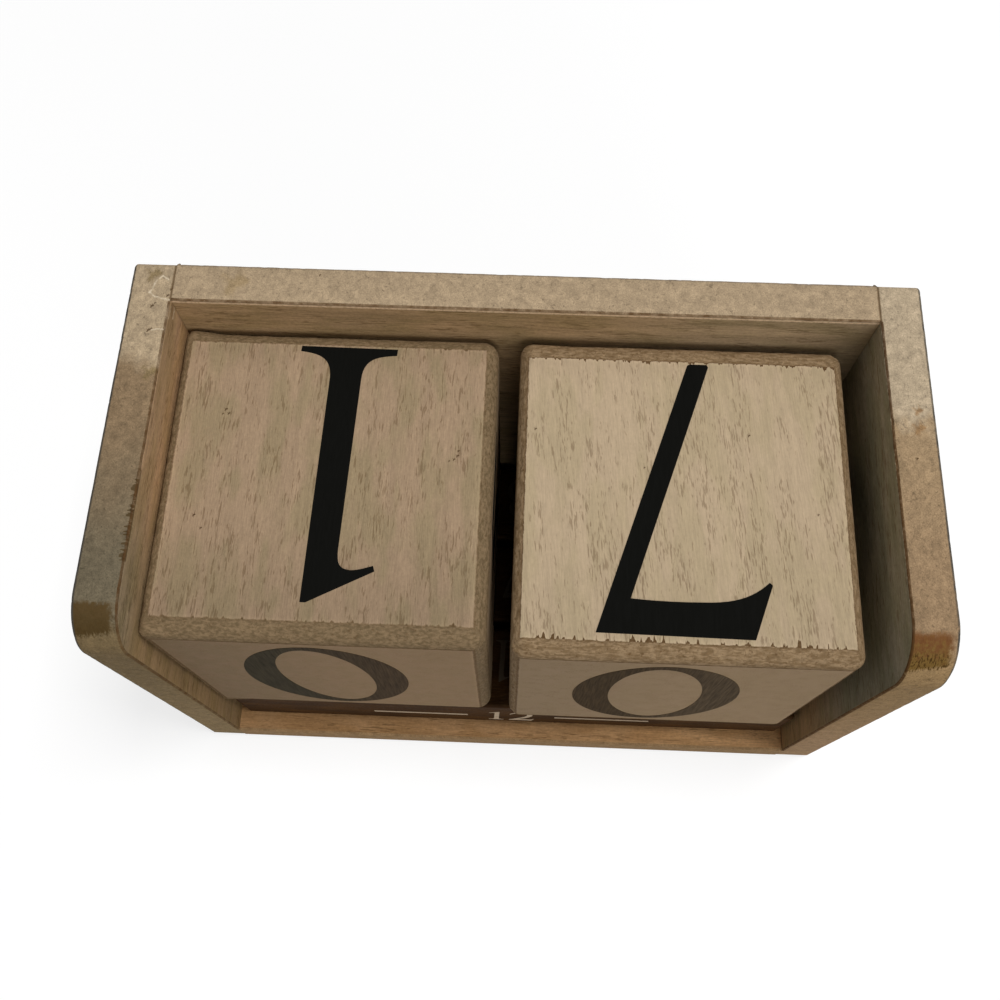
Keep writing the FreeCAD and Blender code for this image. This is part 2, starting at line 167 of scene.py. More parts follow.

# Each cube: the wash's two colours, the bare rim's two, the front face's at its left and right
# (the left darker with painted shade), half the size of the washed field and its shift, how
# light its front end is, how torn the field's ends are, the grain's turn, the rim's streaks, the
# side with painted crevice shade and the grain's strengths
TENS = {
    "pale": (161, 137, 111), "other": (151, 132, 103),
    "rim": ((104, 87, 63), (131, 110, 83)), "front": ((121, 100, 76), (151, 124, 94)),
    "field": (23.4, 22.48, 22.7), "shift": (-0.25, 0.28, 0.0), "near": 0.82,
    "tooth": 0.3, "tilt": 0.0, "streak": 1.2, "crevice_side": (-1.0, 0.0, 0.0), "knots": TENS_KNOTS,
    "grain": {"pores": 0.85, "mottle": 0.17, "dash": (0.25, 1.9), "band": 0.18, "fibre": 0.34},
}
UNITS = {
    "pale": (182, 161, 133), "other": (176, 157, 127),
    "rim": ((116, 94, 67), (146, 123, 94)), "front": ((132, 108, 81), (149, 122, 91)),
    "field": (23.84, 22.5, 22.9), "shift": (-0.085, -0.3, 0.0), "near": 0.93,
    "tooth": 0.9, "tilt": -5.0, "streak": 0.75, "crevice_side": (0.0, 1.0, 0.0),
    "knots": UNITS_KNOTS,
    "grain": {"pores": 0.8, "mottle": 0.10, "dash": (0.2, 1.7), "band": 0.11, "fibre": 0.25},
}
# Each board: its wall's two colours, the painted light and shade inside the tray as tints (axis,
# from, to, factors) and the tint outside, its sanded top from front to back and where that
# changes, its front face at the foot and the top, stains, and the scorch: colours, angles at
# which it starts and ends, how it leans, where it thins out to the right, how ragged its start is
# and how much it is charred
WALL_GRAIN = {"pores": 1.0, "mottle": 0.3, "band": 0.36, "fibre": 0.5}
LEFT = {
    "wall": ((180, 149, 116), (168, 140, 104)),
    "painted_light": ((1, -2.0, -21.0, (0.68, 0.77, 0.80)), (2, 76.0, 68.0, (1.12, 0.98, 0.82))),
    "outside": (0.92, 0.9, 0.86),
    "edge": ((108, 98, 79), (138, 116, 89), (173, 153, 125)), "change": 12.0,
    "face": ((142, 121, 88), (119, 101, 72)),
    "stains": ((-54.6, 10.9, 1.5), (-56.6, 27.6, 1.6)), "stain": (122, 104, 70),
    "burn": {"colours": ((80, 61, 32), (71, 54, 26)), "span": (15.0, 50.5), "lean": 1.5,
             "thins": -54.3, "ragged": 2.5, "char": 0.15},
}
# The right board's wall colours are greyed towards the olive of its inner face in shade, a
# painted shade colour; the tint outside takes its outer faces back towards brown
RIGHT = {
    "wall": ((150, 141, 120), (138, 132, 108)),
    "painted_light": ((2, 66.0, 75.0, (1.2, 1.2, 1.2)), (2, 55.0, 20.0, (1.5, 1.06, 0.74))),
    "outside": (1.28, 1.0, 0.76),
    "edge": ((149, 124, 95), (158, 134, 103), (178, 160, 134)), "change": 7.0,
    "face": ((165, 135, 102), (152, 125, 88)),
    "stains": ((57.4, 5.8, 1.2), (57.5, 8.6, 0.9)), "stain": (142, 108, 70),
    "burn": {"colours": ((104, 64, 30), (108, 82, 36)), "span": (15.0, 58.0), "lean": 2.0,
             "thins": 58.9, "ragged": 5.0, "char": 0.85},
}
BACK = {
    "wall": ((158, 131, 97), (147, 123, 88)), "painted_light": ((0, 0.0, 42.0, (1.0, 1.1, 1.25)),),
    "outside": (1.0, 1.0, 1.0),
    "edge": ((169, 148, 120),) * 3, "change": 12.0, "face": ((169, 148, 120),) * 2,
    "stains": ((-44.0, 26.5, 2.6),), "stain": (152, 130, 96),
}
BASE = {
    "wall": ((173, 135, 94), (162, 124, 83)), "painted_light": ((0, -20.0, 45.0, (1.35, 1.35, 1.35)),),
    "outside": (1.0, 1.0, 1.0),
    "edge": ((148, 122, 86), (156, 128, 93), (160, 130, 95)), "change": 12.0,
    "face": ((154, 125, 90),) * 2, "stains": (), "stain": (140, 108, 74),
}


def screen_colour(red, green, blue):
    """A colour as a screen shows it, as linear light."""
    shares = [value / 255 for value in (red, green, blue)]
    linear = [s / 12.92 if s <= 0.04045 else ((s + 0.055) / 1.055) ** 2.4 for s in shares]
    return (*linear, 1.0)


class Graph:
    """The nodes of a material or of the world. Most methods add nodes and return the socket to
    go on from."""

    def __init__(self, name, kind="Material"):
        owners = bpy.data.worlds if kind == "World" else bpy.data.materials
        self.owner = owners.new(name)
        self.kind = kind
        self.owner.use_nodes = True
        self.tree = self.owner.node_tree
        self.tree.nodes.clear()

    def add(self, kind, inputs, output=0, **settings):
        """Adds a node whose inputs are sockets or values, and returns one of its outputs."""
        node = self.tree.nodes.new("ShaderNode" + kind)
        for key, value in settings.items():
            setattr(node, key, value)
        for key, value in inputs.items():
            if isinstance(value, bpy.types.NodeSocket):
                self.tree.links.new(value, node.inputs[key])
            else:
                node.inputs[key].default_value = value
        return node.outputs[output]

    def math(self, operation, *values):
        return self.add("Math", dict(enumerate(values)), operation=operation)

    def times(self, first, *others):
        """The product of a value and others."""
        for other in others:
            first = self.math("MULTIPLY", first, other)
        return first

    def minus(self, first, second):
        return self.math("SUBTRACT", first, second)

    def vector(self, operation, *values):
        return self.add("VectorMath", dict(enumerate(values)), operation=operation)

    def gap(self, first, second):
        """How far apart two values are."""
        return self.math("ABSOLUTE", self.minus(first, second))

    def scaled(self, value, factor, more):
        """A value times a factor, plus more."""
        return self.math("MULTIPLY_ADD", value, factor, more)

    def measure(self, operation, *values):
        """A number taken from one vector or two."""
        return self.add("VectorMath", dict(enumerate(values)), "Value", operation=operation)

    def apart(self, vector):
        x = self.add("SeparateXYZ", {0: vector})
        return x, x.node.outputs[1], x.node.outputs[2]

    def together(self, x, y, z):
        return self.add("CombineXYZ", {0: x, 1: y, 2: z})

    def place(self, centre=(0.0, 0.0, 0.0), turn=(0.0, 0.0, 0.0)):
        """Where a point of the piece lies from a centre, in millimetres, turned by degrees."""
        spot = self.add("TexCoord", {}, output="Object")
        spot = self.vector("SCALE", spot)
        spot.node.inputs["Scale"].default_value = 1 / MM
        spot = self.vector("SUBTRACT", spot, centre)
        angles = [math.radians(angle) for angle in turn]
        return self.add("VectorRotate", {"Vector": spot, "Rotation": angles},
                        rotation_type="EULER_XYZ")

    def noise(self, place, across, along, detail=2.0, roughness=0.5, warp=0.0):
        """Cloudy noise, with spots of a size across the grain and along it, the place's Y."""
        spot = self.vector("MULTIPLY", place, (1 / across, 1 / along, 1 / across))
        return self.add("TexNoise", {
            "Vector": spot, "Scale": 1.0, "Detail": detail, "Roughness": roughness,
            "Distortion": warp,
        })

    def step(self, value, low, high, start=0.0, end=1.0):
        """A smooth step from start to end as the value goes from low to high."""
        return self.add("MapRange", {0: value, 1: low, 2: high, 3: start, 4: end},
                        interpolation_type="SMOOTHSTEP")

    def mix(self, share, first, second):
        """From the first colour to the second."""
        colours = [screen_colour(*c) if isinstance(c, tuple) else c for c in (first, second)]
        return self.add("Mix", {0: share, 6: colours[0], 7: colours[1]}, output=2,
                        data_type="RGBA")

    def dim(self, colour, factor):
        """A colour made darker or lighter."""
        scaled = self.vector("SCALE", colour)
        self.tree.links.new(factor, scaled.node.inputs["Scale"])
        return scaled

    def vary(self, colour, value, strength):
        """A colour lightened and darkened by a noise about its middle."""
        return self.dim(colour, self.scaled(value, 2 * strength, 1 - strength))

    def tint(self, colour, share, factors):
        """A colour on its way to itself times factors for red, green and blue."""
        return self.mix(share, colour, self.vector("MULTIPLY", colour, factors))

    def wobble(self, place, size, reach):
        """A place shifted this way and that."""
        shift = self.add("TexNoise", {"Vector": place, "Scale": 1 / size, "Detail": 2.0},
                         output="Color")
        shift = self.vector("SUBTRACT", shift, (0.5, 0.5, 0.5))
        return self.vector("ADD", place, self.vector("MULTIPLY", shift, (reach,) * 3))

    def attribute(self, name):
        return self.add("Attribute", {}, output="Fac", attribute_name=name)

    def finish(self, colour, cloud, rough, height, relief, specular=0.04, **shader):
        """The surface: colour, roughness where a noise is low and high, and relief, the
        height's full range in millimetres."""
        normal = self.add("Bump", {"Height": height, "Distance": relief * MM, "Strength": 1.0})
        surface = self.add("BsdfPrincipled", {
            "Base Color": colour, "Roughness": self.step(cloud, 0.3, 0.7, *rough),
            "Specular IOR Level": specular, "Normal": normal, **shader,
        })
        self.add_output(surface)
        return self.owner

    def add_output(self, surface):
        output = self.tree.nodes.new("ShaderNodeOutput" + self.kind)
        self.tree.links.new(surface, output.inputs["Surface"])


def middle(graph, first, second, third):
    """The middle one of three values."""
    low = graph.math("MINIMUM", first, second)
    high = graph.math("MAXIMUM", first, second)
    return graph.math("MAXIMUM", low, graph.math("MINIMUM", high, third))


def wood(graph, place, pale, other, pores=1.0, mottle=0.10, dash=(0.26, 2.2), band=0.13,
         fibre=0.30):
    """Wood with its grain along the place's Y: colour, height from 0 to 1, and mottling. The
    dash is the size of a pore across and along, the rest how strongly each layer shows."""
    patch = graph.noise(place, 3.4, 10.0)
    colour = graph.mix(graph.step(patch, 0.38, 0.62), pale, other)
    bands = graph.noise(place, 1.2, 34.0, detail=3.0, roughness=0.6, warp=0.15)
    colour = graph.vary(colour, bands, band)
    fibres = graph.noise(place, 0.16, 2.4, detail=3.0, roughness=0.6)
    colour = graph.vary(colour, fibres, fibre)
    cloud = graph.noise(place, 0.42, 0.55, roughness=0.7)
    colour = graph.vary(colour, cloud, mottle)
    speck = graph.noise(place, *dash, warp=0.3)
    crowd = graph.noise(place, 2.0, 9.0)
    limit = graph.step(crowd, 0.36, 0.64, 0.67, 0.50)
    pore = graph.step(graph.minus(speck, limit), 0.0, 0.13)
    colour = graph.mix(graph.times(pore, 0.55 * pores), colour, PORE)
    vein = graph.step(graph.noise(place, 0.36, 7.0, warp=0.7), 0.64, 0.74)
    vein = graph.times(vein, graph.step(crowd, 0.46, 0.6), 0.5 * pores)
    colour = graph.mix(vein, colour, PORE)
    height = graph.scaled(fibres, 0.35, 0.3)
    height = graph.scaled(pore, -0.3, height)
    height = graph.scaled(cloud, 0.35, height)
    return colour, height, cloud


def cube_material(node, seed, look):
    """A washed cube: a pale field on each face and a bare sanded rim round it. The field's
    front and back ends are torn into teeth, deeper towards the right."""
    graph = Graph(node + "_wood")
    low, high = corners(node)
    centre = (low + high) / 2
    half = (high - low) / 2
    tooth = look["tooth"]
    elsewhere = centre + Vector(CUBE_GRAIN_SHIFT) * seed
    square = graph.place(centre)
    speck = graph.place(elsewhere)
    grain = graph.place(elsewhere, (0.0, 0.0, look["tilt"]))
    colour, height, cloud = wood(graph, grain, look["pale"], look["other"], **look["grain"])
    colour = washed_tone(graph, colour, square, half, look)
    margins, plain = field_margins(graph, square, speck, look)
    inside = middle(graph, *margins)
    colour = graph.dim(colour, graph.step(inside, 0.0, 0.6, 1.12, 1.0))
    soft = 0.05 / max(tooth, 0.2)
    washed = graph.step(inside, -soft, soft)
    whole = graph.step(middle(graph, *plain), -soft, soft)
    torn = graph.times(graph.minus(whole, washed), 0.4 + 0.45 * tooth)
    line = field_line(graph, inside, cloud, square, half, tooth)
    rim, rim_height = sanded_rim(graph, speck, cloud, margins, inside, look)
    colour = graph.mix(washed, rim, colour)
    colour = graph.mix(graph.math("MAXIMUM", torn, line), colour, RIM_LINE)
    # Painted shade in the crevice between the cube and the wall beside it
    colour = shade_crevice_side(graph, colour, square, half, look["crevice_side"])
    height = graph.scaled(washed, 0.6, height)
    height = graph.scaled(rim_height, 0.5, height)
    height = graph.scaled(line, -0.3, height)
    return graph.finish(colour, cloud, (0.66, 0.86), height, 0.07)


def washed_tone(graph, colour, square, half, look):
    """The wash on a cube: knots on the top, darker towards its front end, painted shade near
    its back end, and the front face's own tone, painted darker towards its left.
    """
    right, back, _ = graph.apart(square)
    colour = add_spots(graph, colour, square, half.z, look["knots"], KNOT, 0.85)
    colour = graph.dim(colour, graph.step(back, -half.y, -0.1 * half.y, look["near"], 1.0))
    # Painted shade near the back end, where the tray's back wall stands over the cube
    colour = graph.dim(colour, graph.step(back, half.y - 8.0, half.y - 2.0, 1.0, 0.92))
    # The front face's tone runs from darker at the left to lighter at the right: painted shade
    shaded_front_tone = graph.mix(graph.step(right, -half.x, 0.4 * half.x), *look["front"])
    front = graph.step(back, 0.05 - half.y, 0.6 - half.y, 0.65, 0.0)
    return graph.mix(front, colour, shaded_front_tone)


def field_margins(graph, square, speck, look):
    """How far a spot lies inside a cube's field along each axis, with its teeth and without."""
    right, back, _ = graph.apart(square)
    away = graph.vector("ABSOLUTE", graph.vector("SUBTRACT", square, look["shift"]))
    wave = graph.noise(speck, 0.9, 0.9, detail=3.0, roughness=0.7)
    plain = [graph.scaled(wave, -0.4, graph.minus(size, part))
             for size, part in zip(look["field"], graph.apart(away))]
    deep = graph.times(graph.step(right, -10.0, 24.0, look["tooth"] * 6.0, look["tooth"] * 8.5),
                       graph.step(back, -1.0, 1.0, 1.0, 0.55))
    notch = graph.noise(speck, 0.62, 5.0)
    notch = graph.math("MAXIMUM", graph.minus(notch, 0.535), 0.0)
    torn = graph.minus(plain[1], graph.times(notch, deep))
    return (plain[0], torn, plain[2]), plain


def field_line(graph, inside, cloud, square, half, tooth):
    """How strong the dark line round a cube's field is, with the seam round its front face."""
    back = graph.apart(square)[1]
    line = graph.times(graph.step(graph.gap(inside, -0.10), 0.02, 0.24, 0.25 + 0.3 * tooth, 0.0),
                       graph.step(cloud, 0.38, 0.6, 0.3, 1.0))
    seam = graph.times(graph.step(graph.gap(inside, -0.16), 0.05, 0.32, 1.0, 0.0),
                       graph.step(back, 0.3 - half.y, 0.9 - half.y, 0.55, 0.0))
    return graph.math("MAXIMUM", line, seam)


def shade_crevice_side(graph, colour, square, half, way):
    """Painted shade down one side of a cube, below its rounded top edge, for the crevice
    where it stands against a wall.
    """
    crevice = graph.measure("DOT_PRODUCT", square, way)
    up = graph.apart(square)[2]
    crevice = graph.times(graph.step(crevice, half.x - 0.5, half.x - 0.12, 0.0, 0.8),
                       graph.step(up, half.z - 2.0, half.z - 1.0))
    return graph.mix(crevice, colour, CREVICE_SHADE)


def add_spots(graph, colour, place, top, spots, shade, strength):
    """Small ragged knots, pits or stains at places on a level face."""
    for x, y, radius in spots:
        spot = graph.wobble(graph.vector("SUBTRACT", place, (x, y, top)), radius * 1.2,
                            radius * 2.6)
        spot = graph.vector("MULTIPLY", spot, (1.2, 0.8, 1.0))
        away = graph.measure("LENGTH", spot)
        colour = graph.mix(graph.step(away, radius * 0.35, radius, strength, 0.0), colour, shade)
    return colour


def add_scratches(graph, colour, place, cloud):
    """Thin, broken pale lines between pairs of spots."""
    place = graph.wobble(place, 0.8, 0.5)
    strength = graph.step(cloud, 0.3, 0.6, 0.3, 0.8)
    for start, end in SCRATCHES:
        way = Vector(end) - Vector(start)
        spot = graph.vector("SUBTRACT", place, start)
        along = graph.measure("DOT_PRODUCT", spot, way / way.length_squared)
        along = graph.math("MINIMUM", graph.math("MAXIMUM", along, 0.0), 1.0)
        nearest = graph.together(*[graph.times(along, part) for part in way])
        away = graph.measure("DISTANCE", spot, nearest)
        share = graph.step(away, SCRATCH_WIDTH * 0.5, SCRATCH_WIDTH * 1.5, 1.0, 0.0)
        colour = graph.mix(graph.times(share, strength), colour, SCRATCH)
    return colour


def sanded_rim(graph, place, cloud, margins, inside, look):
    """The bare rim of a cube: mottled, with short scratches along each edge and dark flecks."""
    scales = [graph.step(graph.minus(margin, inside), 0.0, 0.4, 2.6, look["streak"])
              for margin in margins]
    spot = graph.vector("MULTIPLY", place, graph.together(*scales))
    scratch = graph.noise(spot, 1.0, 1.0, detail=4.0, roughness=0.65, warp=0.4)
    rim = graph.mix(graph.step(scratch, 0.38, 0.62), *look["rim"])
    rim = graph.vary(rim, cloud, 0.2 + 0.15 * look["tooth"])
    fleck = graph.noise(place, 0.40, 0.40, warp=0.5)
    fleck = graph.step(fleck, 0.58, 0.70, 0.0, 0.3 + 0.3 * look["tooth"])
    return graph.mix(fleck, rim, RIM_LINE), scratch


def tray_material(name, seed, turn, look):
    """A stained board with sanded edges. The piece's own values tell its edges from its faces
    and say how dark its arrises are: above 0 inside the tray and below 0 outside, where the
    darkness is painted shade."""
    graph = Graph(name)
    grain = graph.place(Vector(BOARD_GRAIN_SHIFT) * seed, turn)
    colour, height, cloud = wood(graph, grain, *look["wall"], **WALL_GRAIN)
    row = graph.place()
    axes = graph.apart(row)
    colour = paint_wall_light(graph, colour, axes, look)
    edge, blotch = sanded_edge(graph, row, axes, look)
    rim = graph.attribute("rim")
    colour = graph.mix(rim, inner_lip(graph, colour, axes, cloud), edge)
    if look is LEFT:
        colour = torn_arris(graph, colour, row)
    height = graph.scaled(graph.times(rim, blotch), 0.5, height)
    worn = graph.attribute("edge")
    inner = graph.times(graph.math("MAXIMUM", worn, 0.0), graph.step(cloud, 0.2, 0.5, 0.5, 0.9))
    outer_shade = graph.math("MAXIMUM", graph.times(worn, -1.0), 0.0)
    # Inner arrises take the dark arris colour, outer ones painted shade
    colour = graph.mix(outer_shade, graph.mix(inner, colour, ARRIS), OUTER_ARRIS_SHADE)
    if look is LEFT:
        colour = add_scratches(graph, colour, row, cloud)
    return graph.finish(colour, cloud, (0.66, 0.88), height, 0.07)


def paint_wall_light(graph, colour, axes, look):
    """A board's faces: painted light and shade inside the tray, as tints, and a tint outside it.
    """
    away = graph.math("ABSOLUTE", axes[0])
    wall = corners("right_side_board")[0].x
    # Painted light and shade inside the tray: bounced warmth, shade and light laid on as tints
    for axis, start, end, factors in look["painted_light"]:
        share = graph.times(graph.step(axes[axis], start, end),
                            graph.step(away, wall + 1.0, wall + 3.0, 1.0, 0.0))
        colour = graph.tint(colour, share, factors)
    return graph.tint(colour, graph.step(away, wall + 3.0, wall + 5.0), look["outside"])


def sanded_edge(graph, row, axes, look):
    """A board's edge with its stains, marks, joint lines and scorch. Returns its blotches too."""
    top = board_box()[1].z
    drift = graph.noise(row, 5.0, 8.0, detail=4.0, roughness=0.6)
    edge = edge_tone(graph, axes, drift, look)
    edge = add_spots(graph, edge, row, top, look["stains"], look["stain"], 0.75)
    edge, blotch = sanded(graph, edge, row)
    edge = add_spots(graph, edge, row, top, EDGE_PITS, KNOT, 0.85)
    edge = joint_lines(graph, edge, axes)
    if "burn" in look:
        edge = burn_corner(graph, edge, row, look["burn"])
    return edge, blotch


def edge_tone(graph, axes, drift, look):
    """A board's sanded edge: darker towards the front, with its own tone on the front face."""
    _, y, z = axes
    low, _ = board_box()
    along = graph.scaled(drift, 12.0, graph.minus(y, 6.0))
    front, middle_tone, back = look["edge"]
    edge = graph.mix(graph.step(along, low.y + 8.0, 8.0), front, middle_tone)
    change = graph.step(along, look["change"] - 2.0, look["change"] + 2.0)
    edge = graph.mix(change, edge, back)
    face = graph.mix(graph.step(z, 8.0, 70.0), *look["face"])
    return graph.mix(graph.step(y, low.y + 1.0, low.y + 4.0, 1.0, 0.0), edge, face)


def sanded(graph, colour, row):
    """A sanded edge: soft blotches, leathery creases, fine speckle and a few dark flecks.
    Returns the colour and the blotches."""
    blotch = graph.noise(row, 1.3, 1.5, detail=4.0, roughness=0.65, warp=0.5)
    colour = graph.vary(colour, blotch, 0.52)
    crease = graph.gap(graph.noise(row, 0.75, 0.9, warp=0.8), 0.5)
    colour = graph.dim(colour, graph.step(crease, 0.0, 0.07, 0.90, 1.03))
    speckle = graph.noise(row, 0.2, 0.24)
    colour = graph.vary(colour, speckle, 0.42)
    fleck = graph.noise(row, 0.40, 0.5, warp=0.4)
    return graph.dim(colour, graph.step(fleck, 0.60, 0.74, 1.0, 0.66)), blotch


def joint_lines(graph, colour, axes):
    """Dark lines on the top edges where the back board butts against the side boards."""
    x, y, _ = axes
    wall = corners("right_side_board")[0].x
    back = corners("back_board")[0].y
    away = graph.gap(graph.math("ABSOLUTE", x), wall)
    share = graph.times(graph.step(away, 0.05, 0.32, 0.75, 0.0),
                        graph.step(y, back - 0.1, back + 0.1))
    return graph.mix(share, colour, JOINT)


def inner_lip(graph, colour, axes, cloud):
    """A pale line along the top of the back board's wall, just under its arris."""
    _, y, z = axes
    top = board_box()[1].z
    back = corners("back_board")[0].y
    share = graph.times(graph.step(graph.gap(z, top - 0.6), 0.1, 0.3, 0.7, 0.0),
                        graph.step(y, back - 0.2, back - 0.05),
                        graph.step(cloud, 0.3, 0.6, 0.4, 1.0))
    return graph.mix(share, colour, LIP)


def torn_arris(graph, colour, row):
    """Dark teeth torn into the left board's top beside its inner arris, over a stretch, and
    pale chips on the wall below them."""
    x, y, z = graph.apart(row)
    wall = corners("left_side_board")[1]
    away = graph.minus(wall.x, x)
    jag = graph.noise(row, 2.0, 0.42)
    reach = graph.step(jag, 0.40, 0.64, 0.12, 0.95)
    tooth = graph.step(graph.minus(away, reach), -0.15, 0.05, 0.85, 0.0)
    tooth = graph.times(tooth, graph.step(z, wall.z - 0.7, wall.z - 0.4))
    chip = graph.times(graph.step(jag, 0.36, 0.48, 0.8, 0.0),
                       graph.step(z, wall.z - 1.5, wall.z - 1.0),
                       graph.step(z, wall.z - 0.6, wall.z - 0.3, 1.0, 0.0))
    front, back = TORN_STRETCH
    within = graph.times(graph.step(y, front - 0.5, front),
                         graph.step(y, back, back + 0.5, 1.0, 0.0),
                         graph.step(away, 1.2, 1.5, 1.0, 0.0))
    colour = graph.mix(graph.times(chip, within), colour, CHIP)
    return graph.mix(graph.times(tooth, within), colour, TORN)


def burn_corner(graph, colour, row, burn):
    """The rounded top front corner is scorched, with short dark fibres down the round."""
    low, high = board_box()
    turn = (0.0, low.y + TOP_FRONT_RADIUS, high.z - TOP_FRONT_RADIUS)
    x, y, z = graph.apart(graph.vector("SUBTRACT", row, turn))
    angle = graph.math("DEGREES", graph.math("ARCTAN2", graph.times(y, -1.0), z))
    fray = graph.noise(row, 0.7, 0.9, detail=4.0, roughness=0.7)
    stray = graph.minus(fray, 0.5)
    fibre = graph.together(graph.times(x, 4.0), graph.times(angle, 0.14), 0.0)
    fibre = graph.noise(fibre, 1.0, 1.0, roughness=0.6, warp=0.15)
    band = burn_band(graph, x, y, angle, stray, fibre, burn)
    first, last = burn["span"]
    patch = graph.scaled(stray, 90.0, angle)
    scorch = graph.mix(graph.step(patch, first + 4.0, last - 10.0), *burn["colours"])
    colour = graph.mix(graph.times(band, 0.9), colour, scorch)
    colour = graph.vary(colour, fray, 0.3)
    char = graph.times(band, graph.step(fibre, 0.50, 0.60, 0.0, burn["char"]),
                       graph.step(angle, 33.0, 43.0, 0.1, 1.0))
    return graph.mix(char, colour, CHAR)


def burn_band(graph, x, y, angle, stray, fibre, burn):
    """Where a corner is scorched: between two angles down the round. The band leans down to
    the left, ends in fibres and thins out towards the right."""
    first, last = burn["span"]
    start = graph.scaled(stray, 14.0, angle)
    band = graph.step(start, first - burn["ragged"], first + burn["ragged"])
    across = graph.minus(x, burn["thins"] - 2.5)
    end = graph.scaled(across, burn["lean"], angle)
    end = graph.scaled(graph.minus(fibre, 0.5), -18.0, end)
    right = graph.scaled(stray, 2.4, x)
    return graph.times(band, graph.step(end, last - 3.0, last + 4.0, 1.0, 0.0),
                       graph.step(y, -1.2, -0.4, 1.0, 0.0),
                       graph.step(right, burn["thins"] - 0.7, burn["thins"] + 0.7, 1.0, 0.0))


def bar_material():
    """Dark stained month bars."""
    graph = Graph("dark_bar_wood")
    grain = graph.place(turn=(0.0, 0.0, 90.0))
    colour, height, cloud = wood(graph, grain, BAR, BAR_OTHER, 0.4, 0.3, band=0.4, fibre=0.6)
    return graph.finish(colour, cloud, (0.6, 0.8), height, 0.06, 0.03)


def ink_material():
    """Matt black ink. On the cubes' fronts it is worn thin, with the grain showing through, and
    lightened to grey with a painted sheen.
    """
    graph = Graph("black_ink")
    row = graph.place()
    fibre = graph.noise(row, 0.3, 2.6, detail=3.0)
    x, y, z = graph.apart(row)
    streak = graph.noise(graph.together(x, z, y), 0.22, 5.0)
    tones = []
    for node, pair in (("tens_cube", FADED_AND_SHEEN_TENS), ("units_cube", FADED_AND_SHEEN_UNITS)):
        low, high = corners(node)
        centre = (low.x + high.x) / 2
        tones.append(graph.mix(graph.step(x, centre - 9.0, centre + 9.0), *pair))
    # Worn ink on the fronts, lightened grey as painted sheen, with the grain's streaks through it
    faded_and_sheen = graph.vary(graph.mix(graph.step(x, -3.0, -1.0), *tones), streak, 1.0)
    front = corners("tens_cube")[0].y + TENS_RADII[1] / 2
    colour = graph.mix(graph.step(y, front - 0.5, front, 1.0, 0.0), INK, faded_and_sheen)
    return graph.finish(colour, fibre, (0.78, 0.9), fibre, 0.02, 0.03)


def cream_material():
    """Cream print on the month bars, thin where the wood's fibres stand up, and darkened on
    their tops with painted shade, for the deep gap under the cubes."""
    graph = Graph("cream_ink")
    grain = graph.place(turn=(0.0, 0.0, 90.0))
    fibre = graph.noise(grain, 0.2, 1.6, detail=3.0)
    colour = graph.mix(graph.step(fibre, 0.58, 0.75, 0.0, 0.6), CREAM, BAR)
    height = graph.apart(graph.place())[2]
    top = corners("month_bar_front")[1].z
    # Painted shade darkens the print along the bar's top, which lies in the gap under the cubes
    colour = graph.mix(graph.step(height, top - 0.3, top - 0.1, 0.0, 0.85), colour, BAR_TOP_SHADE)
    return graph.finish(colour, fibre, (0.7, 0.85), fibre, 0.02)


def steel_material():
    """Dull brad steel with drawn lines."""
    graph = Graph("brad_steel")
    grain = graph.place()
    lines = graph.noise(grain, 0.12, 1.5)
    colour = graph.mix(lines, STEEL_DARK, STEEL)
    return graph.finish(colour, lines, (0.35, 0.55), lines, 0.02, 0.5, Metallic=1.0)


def corners(node):
    """The lowest and highest corners of a CAD node in millimetres."""
    low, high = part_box(node)
    return low / MM, high / MM


def board_box():
    """The lowest and highest corners of the whole tray."""
    return corners("left_side_board")[0], corners("right_side_board")[1]


def clouds(point, size, octaves=3):
    """Cloudy noise from 0 to 1 at a point."""
    value = noise.fractal(Vector(point) / size, 1.0, 2.0, octaves)
    return min(max(0.5 + 0.5 * value, 0.0), 1.0)


def worn_away(point, wear, dents, chips):
    """How much wood a worn edge has lost at a point, to wide dents and small chips."""
    dent = max(0.0, clouds(point, dents[0]) - dents[1]) * wear
    chip = max(0.0, clouds(point, chips[0], 2) - chips[1]) * wear * chips[2]
    return dent + chip


def make_piece(name, points, faces, body, node, material, smooth=None, values=None):
    """A mesh piece in metres that stands for a CAD node and rides on its body."""
    mesh = bpy.data.meshes.new(name)
    mesh.from_pydata([tuple(co * MM for co in point) for point in points], [], faces)
    mesh.validate()
    mesh.polygons.foreach_set("use_smooth", smooth or [True] * len(mesh.polygons))
    for key, column in (values or {}).items():
        mesh.attributes.new(key, "FLOAT", "POINT").data.foreach_set("value", column)
    mesh.materials.append(material)
    piece = bpy.data.objects.new(name, mesh)
    bpy.context.scene.collection.objects.link(piece)
    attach(piece, body)
    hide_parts(node)
    return piece


def stations(half, radius, spacing):
    """Places along one axis of a block, packed close where its edges round over."""
    core = half - radius
    turns = [radius * math.tan(math.radians(45 * i / ROUND_STEPS))
             for i in range(1, ROUND_STEPS + 1)]
    count = max(2, round(2 * core / spacing))
    middle_ones = [core * (2 * i / count - 1) for i in range(count + 1)]
    return [-core - t for t in reversed(turns)] + middle_ones + [core + t for t in turns]


def round_off(flat, half, radii):
    """A spot on a block's flat face moved onto its rounded edge, and the way out there. The
    first radius is for the left edges."""
    near, far = RADIUS_BLEND
    left = min(max((far - half.x - flat.x) / (far - near), 0.0), 1.0)
    radius = radii[1] + (radii[0] - radii[1]) * left
    core = Vector([min(max(flat[a], radius - half[a]), half[a] - radius) for a in range(3)])
    out = (flat - core).normalized()
    return core + out * radius, out


